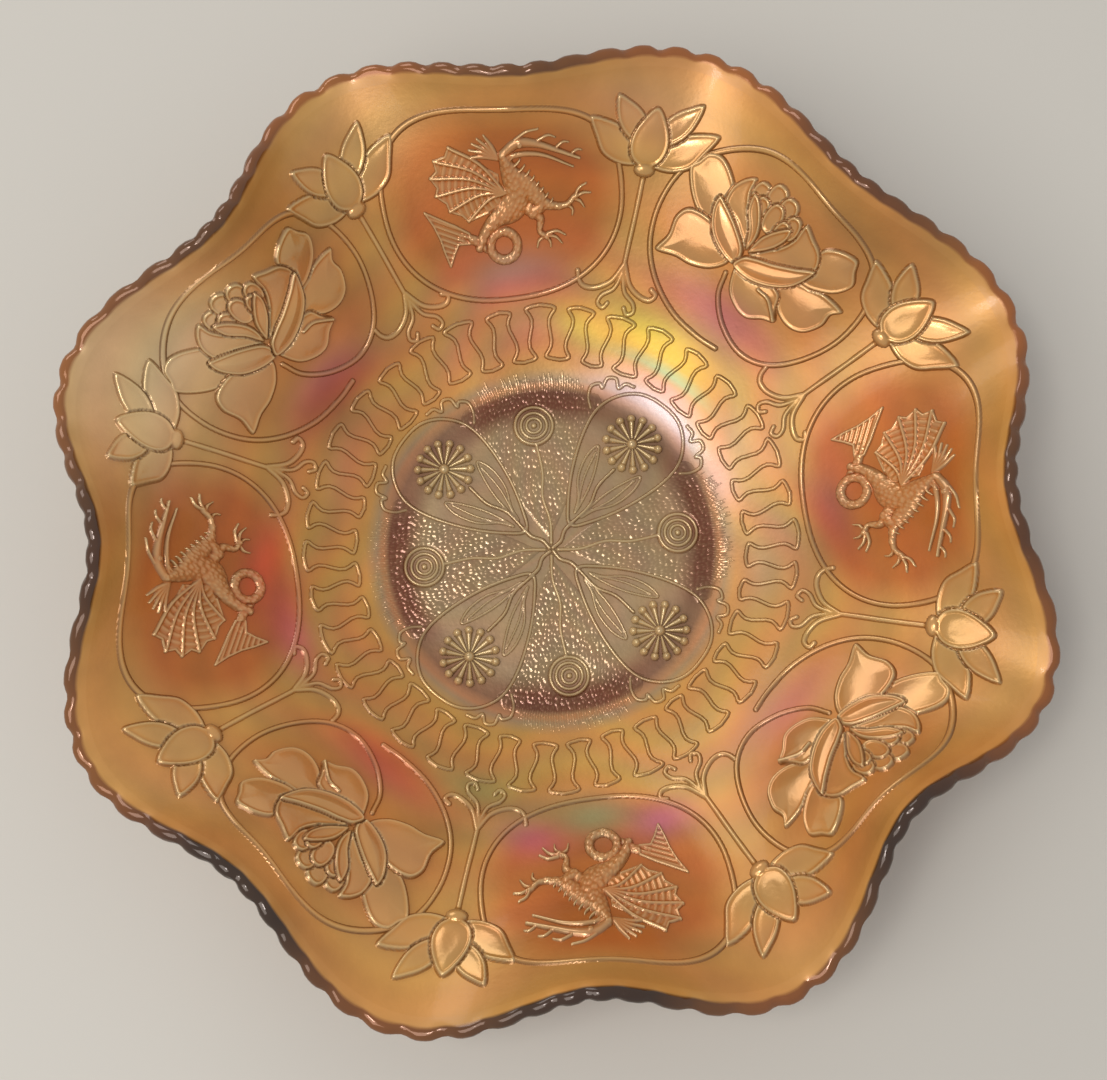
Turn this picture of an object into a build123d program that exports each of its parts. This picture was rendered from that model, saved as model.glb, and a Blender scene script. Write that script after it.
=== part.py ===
from build123d import *
import math
import os

# A ruffled, footed bowl of pressed iridescent glass. Millimetres, +Z up.
# The origin is the centre of the foot's underside. Dragon medallions are centred on the X and Y axes
# and lotus medallions halfway between them. Every moulded feature is its own solid on the bowl's body.

# Bowl
FLOOR_HEIGHT = 9.0          # table to the floor inside
FLOOR_RADIUS = 36.0         # flat part of the floor
FLOOR_CURVE = 17.6          # size of the curve between floor and flaring wall
WALL_SLOPE = 0.78           # rise over run of the flaring wall
WALL = 3.4                  # glass thickness of the wall
RIM_RADIUS = 107.5          # plan radius of the rim before ruffling
RIM_BAND = 2.2              # width of the edge piece round the rim
LIP_ROUND = 1.3             # how far the rounded lip stands past the rim

# Ruffles
RUFFLES = 8
RUFFLE_START = 60.0         # plan radius where the ruffling begins
RUFFLE_REACH = 7.4          # how far the rim swings in and out
RUFFLE_RISE = 6.4           # how far the rim swings up and down
RUFFLE_TURN = -3.7          # degrees from a dragon's centre line to the inward fold beside it
RUFFLE_UNEVEN = 2.5         # hand finishing: some folds are this much shallower or deeper
RUFFLE_UNEVEN_TURN = 59.0   # direction of the shallowest fold, degrees

# Foot
FOOT_RADIUS = 40.5
FOOT_WALL = 5.0
FOOT_HEIGHT = 5.0
FOOT_ROUND = 1.2
FOOT_DRAFT = 0.6             # how much the foot's sides lean in towards its base

# Moulded pattern
GROUND_RADIUS = 43.4        # outer edge of the furred ground on the floor
BAND_INNER = 45.4           # looped ribbon
BAND_OUTER = 58.6
RIBBON_LOOPS = 36
RIBBON_PINCH = 0.095        # how far each loop of the ribbon narrows at its neck
CORD_WIDTH = 1.3
FINE_CORD_WIDTH = 1.0
TARGET_CORD_WIDTH = 0.8
CORD_HEIGHT = 0.8
RIBBON_HEIGHT = 0.7
FIGURE_HEIGHT = 1.0
FLOWER_HEIGHT = 1.2
ROSETTE_RADIUS = 7.3
ROSETTE_HEIGHT = 1.5
ROSETTE_PETALS = 14
GROUND_HEIGHT = 0.35
PATTERN_GAP = 0.35          # least space between neighbouring features

SMALLEST_PATCH = 3.0        # square millimetres; smaller offcuts are left out

CELLS = 8
CELL_TURN = 360 / CELLS
QUARTER = 2 * CELL_TURN
ARCS = 8                    # arcs in each ring of the bowl's surfaces
POINTS_PER_ARC = 8
# The motifs are drawn on a pattern disc with these radii, and laid onto the bowl's own radii
DRAWN_RADII = (0.0, 43.4, 45.4, 58.6, 107.5)
LAID_RADII = (0.0, GROUND_RADIUS, BAND_INNER, BAND_OUTER, RIM_RADIUS)


# ---------------------------------------------------------------- the bowl's inner surface
def ruffled(radius, angle):
    """Plan radius and height of the inner surface, for a radius before ruffling and an angle in radians."""
    run = max(radius - FLOOR_RADIUS, 0.0)
    height = FLOOR_HEIGHT + math.hypot(FLOOR_CURVE, WALL_SLOPE * run) - FLOOR_CURVE
    share = max(radius - RUFFLE_START, 0.0) / (RIM_RADIUS - RUFFLE_START)
    weight = share * share
    fold = math.cos(RUFFLES * (angle - math.radians(RUFFLE_TURN)))
    uneven = RUFFLE_UNEVEN * math.cos(2 * (angle - math.radians(RUFFLE_UNEVEN_TURN))) * (1 + fold) / 2
    return radius + weight * (uneven - RUFFLE_REACH * fold), height + weight * (RUFFLE_RISE * fold - 0.8 * uneven)


def surface_point(radius, angle, out=0.0):
    """A point on the inner surface, moved by out along the normal that points into the bowl."""
    def spot(r, a):
        plan_radius, height = ruffled(r, a)
        return Vector(plan_radius * math.cos(a), plan_radius * math.sin(a), height)
    step = 0.01
    here = spot(radius, angle)
    along = spot(radius + step, angle) - here
    around = spot(radius, angle + step / radius) - here
    return here + along.cross(around).normalized() * out


def closed_curve(points):
    return Wire([Edge.make_spline(points, periodic=True)])


def closed_ring(spot):
    """A closed curve through spot(angle), in equal arcs that join smoothly."""
    arcs = []
    step = 0.0005
    for arc in range(ARCS):
        start = 2 * math.pi * arc / ARCS
        turns = [2 * math.pi / ARCS * i / POINTS_PER_ARC for i in range(POINTS_PER_ARC + 1)]
        ends = [(spot(start + t + step) - spot(start + t - step)) / (2 * step) for t in (turns[0], turns[-1])]
        points = [spot(start + turn) for turn in turns]
        arcs.append(Edge.make_spline(points, tangents=ends, parameters=turns, scale=False))
    return Wire(arcs)


def ring(radius, out=0.0):
    """A closed curve round the bowl at one radius before ruffling."""
    return closed_ring(lambda angle: surface_point(radius, angle, out))


def flat_ring(radius, height):
    """A level circle with the same arcs as the other rings."""
    return closed_ring(lambda angle: Vector(radius * math.cos(angle), radius * math.sin(angle), height))


def stations(start, end, count):
    return [start + (end - start) * i / (count - 1) for i in range(count)]


JOINT_RADIUS = RIM_RADIUS - RIM_BAND
INNER_STATIONS = stations(FLOOR_RADIUS, JOINT_RADIUS, 13)
OUTER_STATIONS = stations(FOOT_RADIUS + 5.0, JOINT_RADIUS, 11)
ABOVE_RIM = FLOOR_HEIGHT + WALL_SLOPE * (RIM_RADIUS - FLOOR_RADIUS) + 4 * RUFFLE_RISE


def hollow(lift):
    """Everything inside the bowl that lies more than lift above the inner surface."""
    rings = [ring(radius, lift) for radius in INNER_STATIONS]
    rings.append(flat_ring(RIM_RADIUS + 2 * RUFFLE_REACH, ABOVE_RIM))
    return Solid.make_loft(rings, ruled=True)


def bowl_body():
    """Floor and ruffled wall in one piece, up to the joint with the notched edge."""
    rings = [ring(radius) for radius in INNER_STATIONS]
    rings += [ring(radius, -WALL) for radius in reversed(OUTER_STATIONS)]
    rings.append(flat_ring(FOOT_RADIUS + 1.0, FOOT_HEIGHT))
    return Solid.make_loft(rings, ruled=True)


def rim_edge():
    """The rounded edge that closes the wall all round."""
    lip = [
        ring(JOINT_RADIUS, -WALL),
        ring(RIM_RADIUS, -WALL),
        ring(RIM_RADIUS + LIP_ROUND * 0.8, -WALL * 0.8),
        ring(RIM_RADIUS + LIP_ROUND, -WALL * 0.5),
        ring(RIM_RADIUS + LIP_ROUND * 0.8, -WALL * 0.2),
        ring(RIM_RADIUS),
        ring(JOINT_RADIUS),
    ]
    skin = Shell.make_loft(lip, ruled=True).faces() + Shell.make_loft([lip[-1], lip[0]], ruled=True).faces()
    return Solid(Shell(skin))


# ---------------------------------------------------------------- laying the pattern on the bowl
def laid_radius(drawn):
    """The bowl's radius for a radius on the pattern disc."""
    for i in range(len(DRAWN_RADII) - 1):
        low, high = DRAWN_RADII[i], DRAWN_RADII[i + 1]
        if drawn <= high or i == len(DRAWN_RADII) - 2:
            share = (drawn - low) / (high - low)
            return LAID_RADII[i] + share * (LAID_RADII[i + 1] - LAID_RADII[i])


def laid(point, turn):
    """Plan position of a drawn point: x runs across the motif and y outwards, turn is where y points."""
    x, y = point
    angle = math.atan2(y, x) + math.radians(turn - 90)
    radius, height = ruffled(laid_radius(math.hypot(x, y)), angle)
    return Vector(radius * math.cos(angle), radius * math.sin(angle), 0)


def blob(points, turn):
    """A face bounded by one smooth closed curve."""
    return Face(closed_curve([laid(p, turn) for p in points]))


def patch(points, turn):
    """A face bounded by straight sides."""
    return Face(Wire.make_polygon([laid(p, turn) for p in points], close=True))


def leaf(base, tip, width, turn):
    """A pointed petal between two points, with a rounded side each way."""
    (x0, y0), (x1, y1) = base, tip
    across = (-(y1 - y0), x1 - x0)
    length = math.hypot(*across)
    offset = [width / 2 * c / length for c in across]
    middle = ((x0 + x1) / 2, (y0 + y1) / 2)
    left = laid((middle[0] + offset[0], middle[1] + offset[1]), turn)
    right = laid((middle[0] - offset[0], middle[1] - offset[1]), turn)
    start, end = laid(base, turn), laid(tip, turn)
    sides = [Edge.make_three_point_arc(start, left, end), Edge.make_three_point_arc(end, right, start)]
    return Face(Wire(sides))


def sides_of(path, width, count, closed):
    """Points along both sides of a path."""
    last = count if closed else count - 1
    places = [i / last for i in range(count)]
    lefts, rights = [], []
    for place in places:
        middle, heading = path.position_at(place), path.tangent_at(place)
        side = Vector(-heading.Y, heading.X, 0) * (width / 2)
        lefts.append(middle + side)
        rights.append(middle - side)
    return lefts, rights


def cord(points, turn, width=CORD_WIDTH, detail=4):
    """A raised line with rounded ends that follows the points."""
    path = Edge.make_spline([laid(p, turn) for p in points])
    lefts, rights = sides_of(path, width, detail * len(points), False)
    start, end = path.position_at(0), path.position_at(1)
    start_cap = start - path.tangent_at(0) * (width / 2)
    end_cap = end + path.tangent_at(1) * (width / 2)
    edges = [
        Edge.make_spline(lefts),
        Edge.make_three_point_arc(lefts[-1], end_cap, rights[-1]),
        Edge.make_spline(rights[::-1]),
        Edge.make_three_point_arc(rights[0], start_cap, lefts[0]),
    ]
    return Face(Wire(edges))


def closed_cord(points, turn, width=CORD_WIDTH, detail=3):
    """A raised line that closes on itself."""
    path = Edge.make_spline([laid(p, turn) for p in points], periodic=True)
    lefts, rights = sides_of(path, width, detail * len(points), True)
    curves = sorted([closed_curve(lefts), closed_curve(rights)], key=lambda w: w.length)
    return Face(curves[1], [curves[0]])


def merged(faces):
    whole = faces[0]
    for face in faces[1:]:
        whole = whole + face
    return whole.faces()


def clear_of(faces, others):
    """The faces without what lies under the other faces."""
    for other in others:
        remaining = []
        for face in faces:
            cut = face - other
            if cut is not None:
                remaining += [piece for piece in cut.faces() if piece.area > SMALLEST_PATCH]
        faces = remaining
    return faces


HOLLOWS = {}


def hollow_above(height):
    if height not in HOLLOWS:
        HOLLOWS[height] = hollow(height)
    return HOLLOWS[height]


def relief(faces, height):
    """Solids that stand on the inner surface, with the outlines given in plan."""
    solids = []
    for face in faces:
        column = Solid.extrude(face, Vector(0, 0, ABOVE_RIM - 1.0))
        raised = (column & hollow_above(0.0)) - hollow_above(height)
        solids += [s for s in raised.solids() if s.volume > 0.01]
    return solids


# ---------------------------------------------------------------- motifs, drawn with y outwards
def oval(centre, half_width, half_height, squareness, count):
    """Points round a rounded rectangle-like oval."""
    points = []
    for i in range(count):
        angle = 2 * math.pi * i / count
        x = math.copysign(abs(math.cos(angle)) ** (2 / squareness), math.cos(angle))
        y = math.copysign(abs(math.sin(angle)) ** (2 / squareness), math.sin(angle))
        points.append((centre[0] + half_width * x, centre[1] + half_height * y))
    return points


def dragon_medallion(turn, width=CORD_WIDTH):
    return [closed_cord(oval((-0.5, 80.2), 27.6, 20.0, 2.35, 28), turn, width)]


def lotus_medallion(turn, width=CORD_WIDTH):
    spiral = [(-5.6, 75.0), (-4.0, 70.5), (1.0, 66.0), (8.0, 63.4), (15.0, 64.6), (21.0, 69.4), (25.2, 76.5),
              (25.8, 85.0), (22.4, 92.4), (16.0, 97.0), (7.0, 99.6), (-3.0, 101.0), (-12.0, 99.2),
              (-20.0, 93.8), (-26.4, 86.0), (-27.4, 78.0), (-24.6, 70.6), (-19.0, 65.4), (-11.0, 62.0),
              (-3.0, 61.0), (2.6, 61.0)]
    return [cord(spiral, turn, width)]


def dragon(turn):
    wing = patch([(-2, 80.5), (-9, 77), (-13, 79.5), (-12.5, 81), (-16, 82.5), (-15, 84.5), (-16.5, 87),
                  (-15, 88.5), (-13, 91.5), (-8, 89.5), (-2, 86.5)], turn)
    body = blob([(1, 91.5), (5, 88), (9, 81), (8, 77.5), (3, 76), (-2, 73.5), (-6, 71), (-6.5, 74.5),
                 (-4, 79), (-1, 83), (-0.5, 88)], turn)
    tail = patch([(-4, 69.5), (-4, 73), (-10, 74.5), (-13.5, 76), (-19, 79), (-17, 74.5), (-15, 68.5),
                  (-12.5, 72.5), (-9, 71.5)], turn)
    coil = blob(oval((-1.5, 71.2), 3.2, 3.2, 2, 8), turn)
    front_leg = patch([(6, 79.5), (13, 79), (17, 81.5), (19.5, 80), (17, 78.5), (15, 76.5), (12, 77.2),
                       (5, 76)], turn)
    hind_leg = patch([(3, 77), (5.5, 72.5), (7, 70.5), (9, 72), (12.5, 70.5), (10, 73.5), (8.2, 74.2),
                      (7.5, 78)], turn)
    head = patch([(-1, 88), (-2, 91), (1, 94), (7, 93.5), (13, 91), (18, 87.5), (18.5, 86), (13, 88),
                  (8, 90.5), (3, 90)], turn)
    crest = patch([(-7, 94), (-5, 91), (-3, 88.5), (0, 89), (-0.5, 93), (-4, 94.5)], turn)
    return merged([body, wing, tail, coil, front_leg, hind_leg, head, crest])


def lotus(turn):
    cup = blob([(-5.5, 78), (-12.5, 80), (-16.3, 86), (-14, 91.5), (-10.5, 93.5), (-6, 94.8), (-2, 95),
                (2, 93.2), (6, 93.4), (10, 90.5), (11, 84.5), (6, 79.6), (0, 78.2)], turn)
    upper_left = blob([(-15, 88), (-20, 91), (-24, 90), (-25, 86.4), (-21, 82), (-15, 83.5)], turn)
    lower_left = blob([(-12, 80.5), (-18, 80.5), (-22, 77.5), (-21.5, 70.8), (-14, 71.8), (-8.5, 76.5)], turn)
    lower_right = blob([(-3.6, 78.6), (3, 79), (8, 76.4), (9.5, 73.2), (4.5, 70.9), (-1.6, 73)], turn)
    right = blob([(8, 80), (13, 82), (20.5, 81.6), (19, 76.4), (14, 74.4), (10.5, 76.2)], turn)
    upper_right = blob([(9.5, 86), (11, 91.5), (17, 92.8), (20, 87.5), (16, 84.2)], turn)
    flower = merged([cup, upper_left, lower_left, lower_right, right, upper_right])
    return clear_of(flower, lotus_medallion(turn, CORD_WIDTH + 2 * PATTERN_GAP))


def bud_spray(turn):
    """A lotus bud on a long stem that ends in scrolls."""
    petals = [
        leaf((-2.0, 88.5), (-1.6, 98.0), 7.5, turn),
        leaf((-2.5, 89.0), (-15.0, 94.6), 4.6, turn),
        leaf((0.5, 89.0), (13.0, 94.6), 4.6, turn),
        leaf((-3.5, 92.5), (-10.6, 99.8), 4.2, turn),
        leaf((1.5, 92.5), (8.6, 99.8), 4.2, turn),
    ]
    knot = blob(oval((-1.0, 87.2), 2.4, 1.6, 2, 8), turn)
    stem = cord([(-0.9, 87.0), (-0.4, 79.0), (-0.2, 71.0), (0.0, 66.5), (-1.6, 63.2)], turn)
    left_scroll = cord([(-0.1, 68.0), (-3.6, 63.4), (-7.6, 62.6)], turn)
    right_scroll = cord([(-0.1, 68.0), (3.4, 63.4), (7.6, 62.4), (9.0, 64.4), (7.4, 65.4)], turn)
    spray = merged([stem, knot, left_scroll, right_scroll] + petals)
    dragon_turn = QUARTER * round(turn / QUARTER)
    lotus_turn = QUARTER * math.floor(turn / QUARTER) + CELL_TURN
    room = CORD_WIDTH + 2 * PATTERN_GAP
    return clear_of(spray, dragon_medallion(dragon_turn, room) + lotus_medallion(lotus_turn, room))


def ribbon_point(place):
    """Drawn position of a point of the ribbon, where place counts loops along it."""
    phase = 2 * math.pi * place
    middle = (DRAWN_RADII[2] + DRAWN_RADII[3]) / 2
    swing = (DRAWN_RADII[3] - DRAWN_RADII[2] - FINE_CORD_WIDTH) / 2
    radius = middle - swing * math.cos(phase) * (1.2 - 0.2 * math.cos(phase) ** 2)
    angle = 2 * math.pi / RIBBON_LOOPS * (place + RIBBON_PINCH * math.sin(2 * phase))
    return radius * math.sin(angle), radius * math.cos(angle)


def ribbon_loop(turn):
    """One loop of the ribbon, with square ends that meet the loops beside it."""
    samples = 14
    step = 0.001
    lefts, rights = [], []
    for i in range(samples + 1):
        place = i / samples - 0.5
        spot = laid(ribbon_point(place), turn)
        heading = (laid(ribbon_point(place + step), turn) - laid(ribbon_point(place - step), turn)).normalized()
        across = Vector(-heading.Y, heading.X, 0) * (FINE_CORD_WIDTH / 2)
        lefts.append(spot + across)
        rights.append(spot - across)
    edges = [
        Edge.make_spline(lefts),
        Edge.make_line(lefts[-1], rights[-1]),
        Edge.make_spline(rights[::-1]),
        Edge.make_line(rights[0], lefts[0]),
    ]
    return Face(Wire(edges))


def ribbon_quarter(turn):
    """A quarter of the ribbon that swings in and out round the bowl."""
    loops = RIBBON_LOOPS // 4
    pitch = 360 / RIBBON_LOOPS
    return [ribbon_loop(turn + pitch * (i - (loops - 1) / 2)) for i in range(loops)]


def petal_outline(turn, width=FINE_CORD_WIDTH):
    """The raised line round a teardrop petal."""
    half = [(0.0, 43.4), (6.0, 42.2), (10.2, 38.6), (11.9, 33.2), (10.6, 26.4), (7.4, 18.0), (3.2, 11.4)]
    other = [(-x, y) for x, y in reversed(half[1:])]
    return closed_cord(half + [(0.0, 8.0)] + other, turn, width)


def petal(turn):
    """A teardrop petal on a stalk, with two leaves inside it."""
    outline = petal_outline(turn)
    stalk = cord([(0.0, 1.6), (0.1, 5.0), (0.0, 8.2)], turn, FINE_CORD_WIDTH)
    left_leaf = leaf((-1.2, 12.6), (-5.0, 24.0), 3.2, turn)
    right_leaf = leaf((1.2, 12.6), (5.0, 24.0), 3.2, turn)
    return merged([outline, stalk]) + [left_leaf, right_leaf]


def rosette(turn):
    """Fourteen slim petals round a button."""
    middle_x, middle_y = 0.0, 32.4
    reach = ROSETTE_RADIUS
    points = []
    for i in range(2 * ROSETTE_PETALS):
        angle = math.pi * i / ROSETTE_PETALS
        radius = reach if i % 2 == 0 else 0.62 * reach
        points.append((middle_x + radius * math.sin(angle), middle_y + radius * math.cos(angle)))
    return [blob(points, turn)]


def target_stalk(turn, width=TARGET_CORD_WIDTH):
    return cord([(0.0, 2.6), (0.4, 10.0), (-0.3, 18.0), (0.0, 25.0)], turn, width)


def target(turn):
    """Rings within rings at the end of a stalk."""
    rings = [closed_cord(oval((0.0, 30.5), r, r, 2, 12), turn, TARGET_CORD_WIDTH) for r in (4.4, 2.6)]
    button = blob(oval((0.0, 30.5), 0.9, 0.9, 2, 8), turn)
    return rings + [button, target_stalk(turn)]


def ground(turn):
    """The furred ground between two petals, either side of a stalk."""
    inner = PATTERN_GAP + 0.4
    right = [(inner, 3.4), (3.6, 7.6), (6.0, 14.0), (9.6, 24.4), (14.4, 31.6), (17.4, 33.6), (15.2, 39.2),
             (8.4, 42.4), (inner, 43.2), (inner, 36.6), (5.4, 33.4), (6.0, 29.6), (4.2, 26.0), (inner, 24.6)]
    left = [(-x, y) for x, y in right]
    room = 2 * PATTERN_GAP
    beside = [petal_outline(turn + side * CELL_TURN, FINE_CORD_WIDTH + room) for side in (-1, 1)]
    beside.append(target_stalk(turn, TARGET_CORD_WIDTH + room))
    return clear_of([patch(right, turn), patch(left, turn)], beside)


# ---------------------------------------------------------------- parts
def collar_foot():
    """The ring that the bowl stands on."""
    section = Face(Wire.make_polygon([
        (FOOT_RADIUS - FOOT_WALL, 0, 0), (FOOT_RADIUS - FOOT_DRAFT, 0, 0),
        (FOOT_RADIUS, 0, FOOT_HEIGHT), (FOOT_RADIUS - FOOT_WALL - FOOT_DRAFT, 0, FOOT_HEIGHT),
    ], close=True))
    foot = Solid.revolve(section, 360, Axis.Z)
    bottom_edges = [e for e in foot.edges() if abs(e.center().Z) < 0.01 and e.geom_type == GeomType.CIRCLE]
    return foot.fillet(FOOT_ROUND, bottom_edges)


def save(name, solids):
    """Writes the solids of one node."""
    solids = list(solids)
    shape = solids[0] if len(solids) == 1 else Compound(children=solids)
    export_step(shape, f"parts/{name}.step")


def build():
    os.makedirs("parts", exist_ok=True)
    save("bowl_body", [bowl_body()])
    save("rim_edge", [rim_edge()])
    save("collar_foot", [collar_foot()])
    on_the_axes = {
        "dragon": (dragon, FIGURE_HEIGHT),
        "dragon_medallion_cord": (dragon_medallion, CORD_HEIGHT),
        "target": (target, CORD_HEIGHT),
        "furred_ground": (ground, GROUND_HEIGHT),
        "ribbon_band": (ribbon_quarter, RIBBON_HEIGHT),
    }
    between_the_axes = {
        "lotus": (lotus, FLOWER_HEIGHT),
        "lotus_medallion_cord": (lotus_medallion, CORD_HEIGHT),
        "petal": (petal, CORD_HEIGHT),
        "rosette": (rosette, ROSETTE_HEIGHT),
    }
    for i in range(4):
        for motifs, turn in ((on_the_axes, 90 * i), (between_the_axes, 90 * i + CELL_TURN)):
            for name, (draw, height) in motifs.items():
                save(f"{name}_{i + 1}", relief(draw(turn), height))
    for i in range(CELLS):
        turn = CELL_TURN * (i + 0.5)
        save(f"bud_spray_{i + 1}", relief(bud_spray(turn), CORD_HEIGHT))


build()
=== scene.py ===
import math

import bpy
import numpy as np
from mathutils import Matrix, Vector


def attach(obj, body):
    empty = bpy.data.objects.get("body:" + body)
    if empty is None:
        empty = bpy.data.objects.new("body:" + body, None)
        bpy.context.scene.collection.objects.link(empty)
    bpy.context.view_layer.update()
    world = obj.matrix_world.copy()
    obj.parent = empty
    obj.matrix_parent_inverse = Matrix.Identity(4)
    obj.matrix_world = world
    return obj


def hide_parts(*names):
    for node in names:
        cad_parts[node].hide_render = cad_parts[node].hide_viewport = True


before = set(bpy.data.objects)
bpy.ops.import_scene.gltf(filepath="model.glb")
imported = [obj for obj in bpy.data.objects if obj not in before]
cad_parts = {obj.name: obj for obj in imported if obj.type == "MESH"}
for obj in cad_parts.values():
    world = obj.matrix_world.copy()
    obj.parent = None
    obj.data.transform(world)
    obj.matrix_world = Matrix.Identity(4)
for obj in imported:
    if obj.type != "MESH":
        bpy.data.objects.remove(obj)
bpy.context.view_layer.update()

# ------------------------------------------------------------------ sizes, in millimetres like the CAD model
MM = 0.001
FLOOR_HEIGHT = 9.0
FLOOR_RADIUS = 36.0
FLOOR_CURVE = 17.6
WALL_SLOPE = 0.78
WALL = 3.4
RIM_RADIUS = 107.5
RIM_BAND = 2.2
LIP_ROUND = 1.3
RUFFLES = 8
RUFFLE_START = 60.0
RUFFLE_REACH = 7.4
RUFFLE_RISE = 6.4
RUFFLE_TURN = math.radians(-3.7)
RUFFLE_UNEVEN = 2.5
RUFFLE_UNEVEN_TURN = math.radians(59.0)
FOOT_RADIUS = 40.5
FOOT_WALL = 5.0
FOOT_HEIGHT = 5.0
FOOT_ROUND = 1.2
FOOT_DRAFT = 0.6
NOTCHES = 88
NOTCH_DEPTH = 0.55
GROUND_RADIUS = 43.4
BAND_INNER = 45.4
BAND_OUTER = 58.6
RIBBON_LOOPS = 36
JOINT_RADIUS = RIM_RADIUS - RIM_BAND
FLOOR_HUB = 2.0             # radius of the innermost ring of the floor's mesh
CORD_WIDTH = 1.4            # raised lines round the medallions
CORD_HEIGHT = 0.6
BARE_GLASS = -1.0           # a drawing's height where nothing is drawn
EDGE_POWER = 2.4            # how full the round of a raised line is
SEAT = 0.35                 # how deep a relief piece sits in the glass under it
LEAST_THICKNESS = 0.2       # between the top and the underside of a relief piece
CELL = 0.25                 # spacing of the relief meshes


# ------------------------------------------------------------------ the bowl's inner surface
def ruffled(radius, angle):
    """Plan radius and height of the inner surface, for a radius before ruffling."""
    run = np.maximum(radius - FLOOR_RADIUS, 0.0)
    height = FLOOR_HEIGHT + np.hypot(FLOOR_CURVE, WALL_SLOPE * run) - FLOOR_CURVE
    share = np.maximum(radius - RUFFLE_START, 0.0) / (RIM_RADIUS - RUFFLE_START)
    weight = share * share
    fold = np.cos(RUFFLES * (angle - RUFFLE_TURN))
    uneven = RUFFLE_UNEVEN * np.cos(2 * (angle - RUFFLE_UNEVEN_TURN)) * (1 + fold) / 2
    outwards = weight * (uneven - RUFFLE_REACH * fold)
    upwards = weight * (RUFFLE_RISE * fold - 0.8 * uneven)
    return radius + outwards, height + upwards


def spot(radius, angle):
    """Points on the inner surface."""
    plan_radius, height = ruffled(radius, angle)
    return np.stack([plan_radius * np.cos(angle), plan_radius * np.sin(angle), height], -1)


def surface(radius, angle, lift):
    """Points on the inner surface, moved by lift along the normal that points into the bowl."""
    step = 0.01
    radius, angle = np.broadcast_arrays(np.maximum(radius, step), angle)
    here = spot(radius, angle)
    along = spot(radius + step, angle) - here
    around = spot(radius, angle + step / radius) - here
    normal = np.cross(along, around)
    normal /= np.linalg.norm(normal, axis=-1, keepdims=True)
    return here + normal * np.asarray(lift)[..., None]


# ------------------------------------------------------------------ mesh helpers
def make_object(name, points, faces, crease=None):
    """A smooth mesh object from points in millimetres, with sharp edges above the crease angle in degrees."""
    mesh = bpy.data.meshes.new(name)
    mesh.from_pydata((points * MM).tolist(), [], faces)
    mesh.update()
    mesh.shade_smooth()
    if crease is not None:
        mesh.set_sharp_from_angle(angle=math.radians(crease))
    thing = bpy.data.objects.new(name, mesh)
    bpy.context.scene.collection.objects.link(thing)
    return thing


def add_attribute(thing, name, values):
    """A number for each vertex, or a colour where values has three columns."""
    values = np.asarray(values, dtype=np.float32)
    if values.ndim == 1:
        attribute = thing.data.attributes.new(name, "FLOAT", "POINT")
        attribute.data.foreach_set("value", values)
    else:
        colours = np.ones((len(values), 4), dtype=np.float32)
        colours[:, :3] = values
        attribute = thing.data.attributes.new(name, "FLOAT_COLOR", "POINT")
        attribute.data.foreach_set("color", colours.ravel())


def ring_faces(rows, columns, closed=False):
    """Quads between successive rings of points; the last ring joins the first when closed."""
    faces = []
    for row in range(rows if closed else rows - 1):
        low = row * columns
        high = (row + 1) % rows * columns
        for column in range(columns):
            after = (column + 1) % columns
            faces.append((low + column, low + after, high + after, high + column))
    return faces


# ------------------------------------------------------------------ drawing on a flat grid
def smooth_path(points, closed=False, steps=8):
    """A smooth line through the points."""
    p = np.asarray(points, float)
    count = len(p)
    if closed:
        p = np.vstack([p[-1:], p, p[:2]])
    else:
        p = np.vstack([2 * p[0] - p[1], p, 2 * p[-1] - p[-2]])
        count -= 1
    t = np.linspace(0, 1, steps, endpoint=False)[:, None]
    line = []
    for i in range(count):
        a, b, c, d = p[i:i + 4]
        line.append(0.5 * (2 * b + (c - a) * t + (2 * a - 5 * b + 4 * c - d) * t ** 2
                           + (3 * b - a - 3 * c + d) * t ** 3))
    line = np.vstack(line)
    return np.vstack([line, line[:1] if closed else p[-2:-1]])


def oval(centre, half_width, half_height, squareness=2.0, count=48):
    """Points round an oval; more squareness makes its corners fuller."""
    angle = 2 * np.pi * np.arange(count) / count
    x = np.copysign(np.abs(np.cos(angle)) ** (2 / squareness), np.cos(angle))
    y = np.copysign(np.abs(np.sin(angle)) ** (2 / squareness), np.sin(angle))
    return np.stack([centre[0] + half_width * x, centre[1] + half_height * y], -1)


def mirrored(points):
    """The points on the other side of the motif's middle line."""
    return [(-x, y) for x, y in points]


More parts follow.
